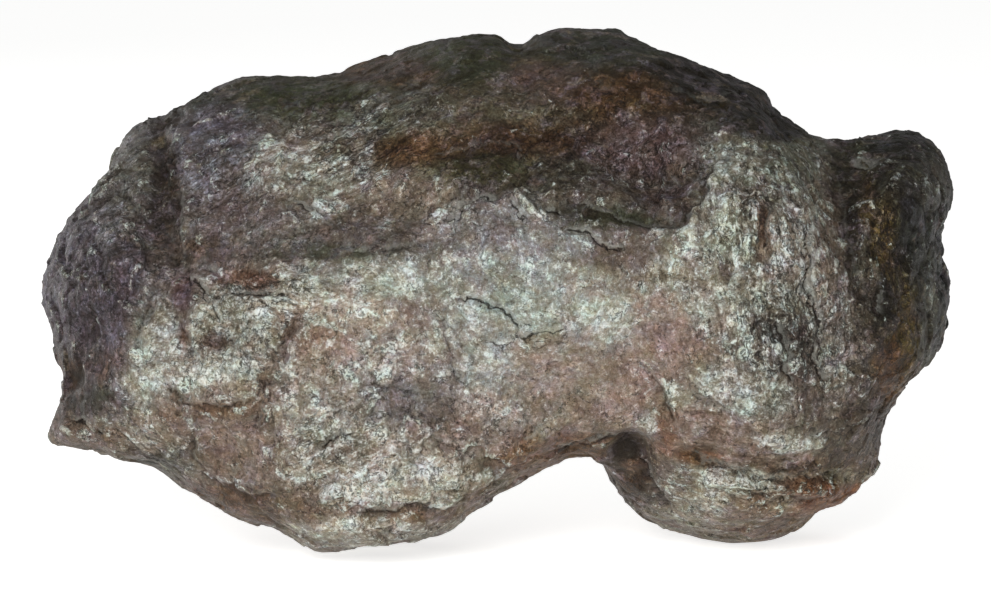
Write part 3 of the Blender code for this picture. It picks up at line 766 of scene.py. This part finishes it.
storeColours(rock.data, "zone_colour", zoneColour)
storeValues(rock.data, "pale_crust", paleCrust)
storeValues(rock.data, "rust_stain", rustStain)
storeValues(rock.data, "crest", np.clip(0.5 + fine / 5, 0, 1))
# how deep a place lies in a large hollow, where painted shade darkens it
storeValues(rock.data, "hollow", np.clip((-coarse - 2) / 6, 0, 1))
# the dark grooves, seams and dents, with the painted shadow below the steps
storeValues(rock.data, "groove_dark_and_step_shadow", np.clip(darkAndShadow, 0, 1))
storeValues(rock.data, "crack_gap", crackGap)
storeValues(rock.data, "crack_depth", crackDepth)
storeValues(rock.data, "broken", broken)
for lean, strength in streaks.items():
    storeValues(rock.data, f"streak_{lean}", strength)


def finishMesh():
    # fewer triangles, thinned most where the surface faces away from the front
    thin = rock.vertex_groups.new(name="thin")
    for level in range(11):
        chosen = np.flatnonzero((facing * 10).round() == level)
        thin.add(chosen.tolist(), 1 - (1 - mass["frontThinning"]) * level / 10, "REPLACE")
    fewer = rock.modifiers.new("fewer", "DECIMATE")
    fewer.ratio = mass["triangles"] / (2 * len(rock.data.polygons))
    fewer.vertex_group = "thin"
    fewer.vertex_group_factor = mass["thinning"]
    bpy.ops.object.modifier_apply(modifier="fewer")
    rock.vertex_groups.clear()
    bpy.ops.object.shade_smooth()


finishMesh()
print("mesh finished,", len(rock.data.polygons), "faces")


# The surface is weathered meteoritic iron: iron-nickel metal with a thin oxide skin. Old weathering leaves a
# chalky grey crust on what stands proud, mauve-brown oxide between, rust in the damp hollows and near-black
# cracks. It is dull and mottled, with a slight metal sheen where the crust is thin.
# Painted light on it: painted shade in the large hollows and the gaps between the knobs, painted shadow with
# the grooves below the steps, a painted highlight beside each crack, and pale flecks that are partly painted
# glints.
skin = {
    "metallic": 0.10,
    "gloss": 0.2,           # how strongly the oxide skin mirrors
    "roughCrust": 0.85,
    "roughSkin": 0.44,
    "contrast": 5.2,        # how far the fine mottling runs from dark to light
    "relief": 2.6,          # mm between the low and the high places of the fine relief
    "drift": (22, 0.016),   # size in mm and reach in m of the slow bends of the patterns
    "ripple": (7, 0.009),   # the same for the quick ones
    "streakSize": 7,        # mm across a streak
    "streakStretch": (6.0, 1.6, 1),
    "brightest": 2.4,       # the most that the mottling lightens a place by
    "tintSpan": (0.34, 0.66),       # where on their noise the tints below start and are full
    "knobSize": 8,          # mm
    "warmDark": (1.16, 0.99, 0.82),     # what the dark specks are multiplied by
    "coolPale": (0.88, 0.99, 1.07),
    "lilacTint": (1.06, 0.96, 1.05),
    "olivePatch": (0.95, 1.025, 0.93),
}

# noise fields: how their ground bends, size in mm, detail, roughness
skinNoise = {
    "mottle": ("drifting", 34, 4, 0.6),
    "weave": ("drifting", 9, 5, 0.95),
    "flake": ("drifting", 15, 7, 0.78),
    "patch": ("rippled", 30, 6, 0.66),
    "fleck": ("straight", 3.4, 3, 0.8),
    "warm": ("drifting", 13, 5, 0.8),
    "tint": ("rippled", 24, 5, 0.75),
    "squiggle": ("rippled", 13, 3, 0.65),
    "wobble": ("straight", 9, 4, 0.8),
    "sway": ("straight", 34, 2, 0.5),
}

# masks: the fields each is worked out from and their weights, where it starts, where it is full, its most,
# and the field it is multiplied by
skinMasks = {
    "lilac": ({"patch": 1.0, "flake": 0.5}, 0.78, 0.86, 0.28, None),
    "ochre": ({"patch": 0.8, "tint": 0.6, "flake": 0.3}, 0.90, 1.02, 0.40, "dark_share"),
    "slate": ({"patch": -0.8, "tint": -0.6, "flake": 0.3}, -0.52, -0.42, 0.30, "dark_share"),
    "brown": ({"patch": -0.9, "flake": 0.6, "mottle": 0.6, "rust_stain": 0.12}, 0.26, 0.34, 0.5, None),
    "rust": ({"flake": 0.9, "weave": 0.6, "patch": -0.6, "rust_stain": 0.36}, 0.52, 0.66, 0.85, "rust_stain"),
    "crust": ({"crest": 0.45, "weave": 0.45, "flake": 0.7, "patch": 0.35, "streaked": 0.6,
               "pale_crust": 0.34}, 1.20, 1.25, 0.6, None),
    # pale flecks, partly the crust's own and partly painted glints: in the dark zones, where there is little
    # crust, they stand in for glints of the lamps
    "pale_flecks_and_glints": ({"fleck": 1.0, "weave": 0.58, "crest": 0.18, "flake": 0.28, "patch": 0.14, "streaked": 0.24,
               "pale_crust": 0.14}, 1.24, 1.36, 0.8, "fleck_and_glint_share"),
    # painted shade: the large hollows darken towards near-black
    "hollow_painted_shade": ({"hollow": 1.0}, 0.0, 1.0, 0.45, None),
    "pins": ({"fleck": -1.0, "weave": -0.6, "crest": -0.25}, -0.78, -0.66, 0.5, None),
    "squiggles": ({"off_squiggle": -1.0, "flake": 0.16, "broken": 0.018}, 0.078, 0.098, 0.7, None),
    "knobbly": ({"broken": 1.0}, 1.28, 1.55, 1.0, None),
    # painted shade: in the knobbly areas the gaps between the knobs darken towards near-black, the knobs
    # staying pale in the middle
    "knobs": ({"knob_edge": -1.0}, -0.20, -0.02, 0.6, "knobbly"),
    # dark grooves and seams, with the painted shadow below the steps, laid in dark brown
    "grooves_and_step_shadows": ({"groove_dark_and_step_shadow": 0.9, "weave": 0.7, "flake": 0.8}, 0.95, 1.5, 0.8, None),
    # painted highlight: a pale line along one side of each crack, where its edge would catch the light
    "highlight_share": ({"crack_depth": 1.0}, 0.2, 0.9, 0.35, None),
    "highlight_reach": ({"off_crack": -1.0}, -6.5, -3.0, 1.0, "highlight_share"),
    "crack_lip_highlight": ({"off_crack": 1.0}, 1.0, 2.4, 1.0, "highlight_reach"),
    "crack_share": ({"crack_depth": 1.0}, 0.05, 0.9, 1.0, None),
    "crack": ({"crack_distance": -1.0, "crack_depth": 1.5, "weave": 2.4}, 1.35, 2.35, 0.85, "crack_share"),
}
for lean in streaks:
    weights = {f"off_line_{lean}": -1.0, "flake": 0.16, f"streak_{lean}": 0.05}
    skinMasks[f"lines_{lean}"] = (weights, 0.098, 0.118, 0.7, None)
lineMasks = ["squiggles", *(f"lines_{lean}" for lean in streaks)]

# colours laid over the zones' own, in this order: those that the mottling darkens and lightens, then the rest
nearBlack = "#17130f"
skinUnder = {"lilac": "#7f7680", "ochre": "#6b5a38", "slate": "#5e5f6c", "brown": "#463a30",
             "rust": "#6c4d36", "crust": "#a4a8a0"}
# among these, painted shade darkens the large hollows and the gaps between the knobs, painted shadow lies
# with the grooves below the steps, the pale line beside the cracks is a painted highlight and the pale flecks
# are partly painted glints
skinOver = {"pale_flecks_and_glints": "#d4d5ce", "hollow_painted_shade": nearBlack, "pins": nearBlack, **dict.fromkeys(lineMasks, nearBlack),
            "knobs": nearBlack, "grooves_and_step_shadows": "#2b231b", "crack_lip_highlight": "#a8aaa2", "crack": nearBlack}


def weatheredIron():
    material = bpy.data.materials.new("weathered_meteoritic_iron")
    material.use_nodes = True
    tree = material.node_tree
    shader = tree.nodes["Principled BSDF"]
    field = {}

    def add(kind, inputs, output=0, **settings):
        return addNode(tree, kind, inputs, output, **settings)

    def mixed(weights, start=0.0):
        # start plus each named field times its weight
        total = start
        for name, weight in weights.items():
            total = add("ShaderNodeMath", {0: field[name], 1: weight, 2: total}, operation="MULTIPLY_ADD")
        return total

    # grounds that the patterns grow on: straight, bent, and stretched along each lean of the streaks
    where = add("ShaderNodeTexCoord", {}, "Object")
    ground = {"straight": where}
    for name, before, bends in (("drifting", "straight", "drift"), ("rippled", "drifting", "ripple")):
        size, reach = skin[bends]
        amounts = {"Vector": where, "Scale": 1000 / size, "Detail": 3, "Roughness": 0.65}
        swirl = add("ShaderNodeTexNoise", amounts, "Color")
        ends = {0: swirl, 1: (reach,) * 3, 2: ground[before]}
        ground[name] = add("ShaderNodeVectorMath", ends, operation="MULTIPLY_ADD")
    patterns = dict(skinNoise)
    for lean in streaks:
        turn = (0, math.radians(-lean), 0)
        ends = {"Vector": ground["drifting"], "Rotation": turn, "Scale": skin["streakStretch"]}
        ground[lean] = add("ShaderNodeMapping", ends, vector_type="TEXTURE")
        patterns[f"grain_{lean}"] = (lean, skin["streakSize"], 4, 0.85)
        patterns[f"line_{lean}"] = (lean, skin["streakSize"] * 1.5, 3, 0.65)

    for name in ("pale_crust", "rust_stain", "crest", "hollow", "groove_dark_and_step_shadow", "crack_gap", "crack_depth",
                 "broken", *(f"streak_{lean}" for lean in streaks)):
        field[name] = add("ShaderNodeAttribute", {}, "Fac", attribute_name=name)
    for name, (base, size, detail, rough) in patterns.items():
        amounts = {"Vector": ground[base], "Scale": 1000 / size, "Detail": detail, "Roughness": rough}
        field[name] = add("ShaderNodeTexNoise", amounts)
    knobs = {"Vector": ground["rippled"], "Scale": 1000 / skin["knobSize"]}
    field["knob_edge"] = add("ShaderNodeTexVoronoi", knobs, feature="DISTANCE_TO_EDGE")

    # streaks, the fine mottling, and how far a place is from a line or a crack
    for lean in streaks:
        offMiddle = mixed({f"grain_{lean}": 1.0}, -0.5)
        both = {0: offMiddle, 1: field[f"streak_{lean}"]}
        field[f"streaked_{lean}"] = add("ShaderNodeMath", both, operation="MULTIPLY")
    field["streaked"] = mixed({f"streaked_{lean}": 1.0 for lean in streaks})
    field["tone"] = mixed({"mottle": 0.6, "weave": 0.85, "flake": 0.8, "fleck": 0.75, "streaked": 2.0}, -1.5)
    # where the pale flecks go: more with the crust, and a floor of them as painted glints in the dark zones
    field["fleck_and_glint_share"] = mixed({"pale_crust": 0.72}, 0.22)
    field["dark_share"] = mixed({"pale_crust": -1.3}, 1.0)
    field["off_crack"] = mixed({"wobble": 10.0, "sway": 9.0, "crack_gap": 1.0}, -9.5)
    field["crack_distance"] = add("ShaderNodeMath", {0: field["off_crack"]}, operation="ABSOLUTE")
    for name in ("squiggle", *(f"line_{lean}" for lean in streaks)):
        field[f"off_{name}"] = add("ShaderNodeMath", {0: mixed({name: 1.0}, -0.5)}, operation="ABSOLUTE")

    for name, (weights, low, high, most, times) in skinMasks.items():
        ends = {"Value": mixed(weights), "From Min": low, "From Max": high, "To Max": most}
        field[name] = add("ShaderNodeMapRange", ends, interpolation_type="SMOOTHSTEP")
        if times:
            field[name] = add("ShaderNodeMath", {0: field[name], 1: field[times]}, operation="MULTIPLY")

    colour = add("ShaderNodeAttribute", {}, "Color", attribute_name="zone_colour")
    for name, over in skinUnder.items():
        colour = add("ShaderNodeMix", {0: field[name], 6: colour, 7: over}, 2, data_type="RGBA")

    # lighter and darker, warmer and colder
    lively = mixed({"broken": skin["contrast"] * 0.25}, skin["contrast"] * 0.78)
    lively = add("ShaderNodeMath", {0: field["tone"], 1: lively}, operation="MULTIPLY")
    lively = add("ShaderNodeMath", {0: 2.0, 1: lively}, operation="POWER")
    lively = add("ShaderNodeMath", {0: lively, 1: skin["brightest"]}, operation="MINIMUM")
    tints = [add("ShaderNodeCombineColor", {0: lively, 1: lively, 2: lively})]
    start, full = skin["tintSpan"]
    for source, low, high in (
        (mixed({"warm": 0.8, "tone": 0.6}, 0.1), skin["warmDark"], skin["coolPale"]),
        (field["tint"], skin["lilacTint"], skin["olivePatch"]),
    ):
        ends = {"Vector": source, 7: (start,) * 3, 8: (full,) * 3, 9: low, 10: high}
        tints.append(add("ShaderNodeMapRange", ends, 1, data_type="FLOAT_VECTOR"))
    for tint in tints:
        ends = {0: 1.0, 6: colour, 7: tint}
        colour = add("ShaderNodeMix", ends, 2, data_type="RGBA", blend_type="MULTIPLY")
    for name, over in skinOver.items():
        colour = add("ShaderNodeMix", {0: field[name], 6: colour, 7: over}, 2, data_type="RGBA")
    tree.links.new(colour, shader.inputs["Base Color"])

    shader.inputs["Metallic"].default_value = skin["metallic"]
    shader.inputs["Specular IOR Level"].default_value = skin["gloss"]
    finish = mixed({"crust": 0.7, "fleck": 0.5, "pale_crust": 0.3}, skin["roughSkin"] - 0.25)
    finish = add("ShaderNodeMath", {0: finish, 1: skin["roughCrust"]}, operation="MINIMUM")
    tree.links.new(finish, shader.inputs["Roughness"])

    weights = {"weave": 1.0, "flake": 0.8, "fleck": 0.5, "streaked": 1.8, "knobs": -0.3, "crack": -0.7}
    fineRelief = mixed({**weights, **dict.fromkeys(lineMasks, -0.25)})
    bump = {"Height": fineRelief, "Strength": 1.0, "Distance": skin["relief"] / 1000}
    tree.links.new(add("ShaderNodeBump", bump), shader.inputs["Normal"])
    return material


rock.data.materials.clear()
rock.data.materials.append(weatheredIron())
print("surface made")

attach(rock, "root")
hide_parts("meteorite")
